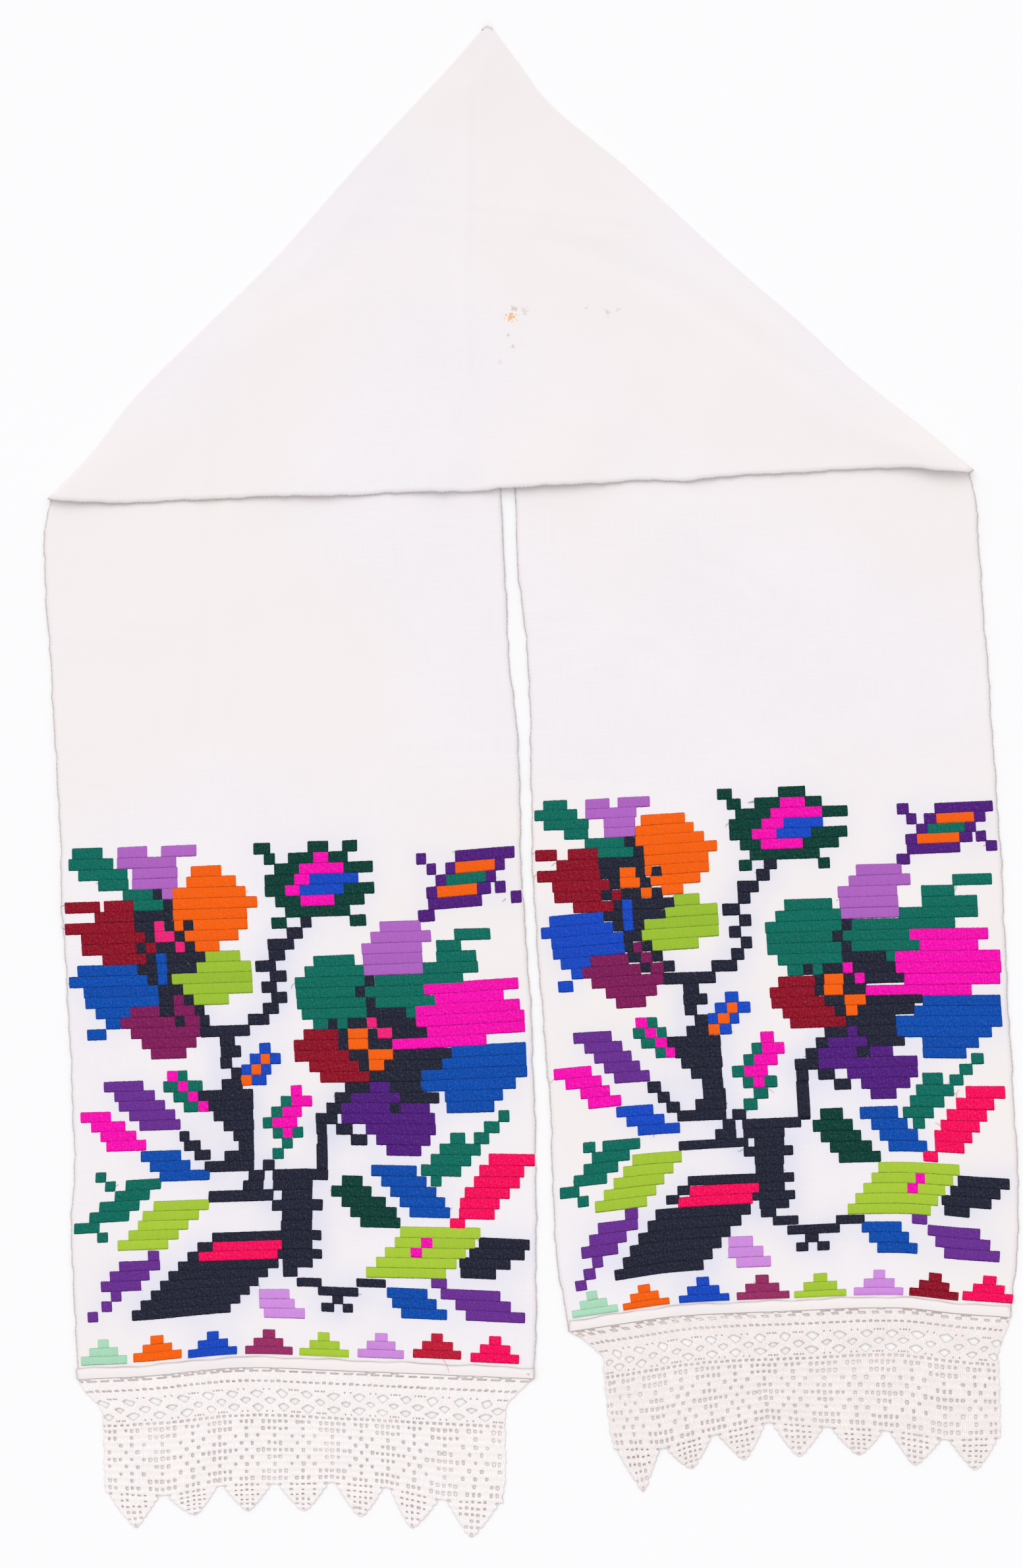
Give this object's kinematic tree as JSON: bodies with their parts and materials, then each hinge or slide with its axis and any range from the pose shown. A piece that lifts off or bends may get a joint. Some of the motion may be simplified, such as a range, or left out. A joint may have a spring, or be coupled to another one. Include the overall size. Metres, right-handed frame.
{
  "type": "rushnyk",
  "caption": "Long embroidered ritual towel with crochet lace on both ends, folded over twice into a triangle above two hanging arms and lying flat.",
  "frame": {"origin": "centre of the underside of the whole towel's box, on the surface it rests on", "axes": "+Z out of the face of the cloth, +Y from the lace ends up to the folded peak, +X along the foot of the triangle to the right"},
  "size_m": [0.7884, 1.2466, 0.0108],
  "materials": {
    "homespun": "white plain-woven homespun, matt",
    "crochet": "off-white crochet cotton, matt",
    "embroidery": "satin stitch in dyed wool and cotton thread, soft sheen"
  },
  "bodies": {
    "root": {"cloth": "homespun", "lace_left": "crochet", "lace_right": "crochet"}
  },
  "joints": []
}
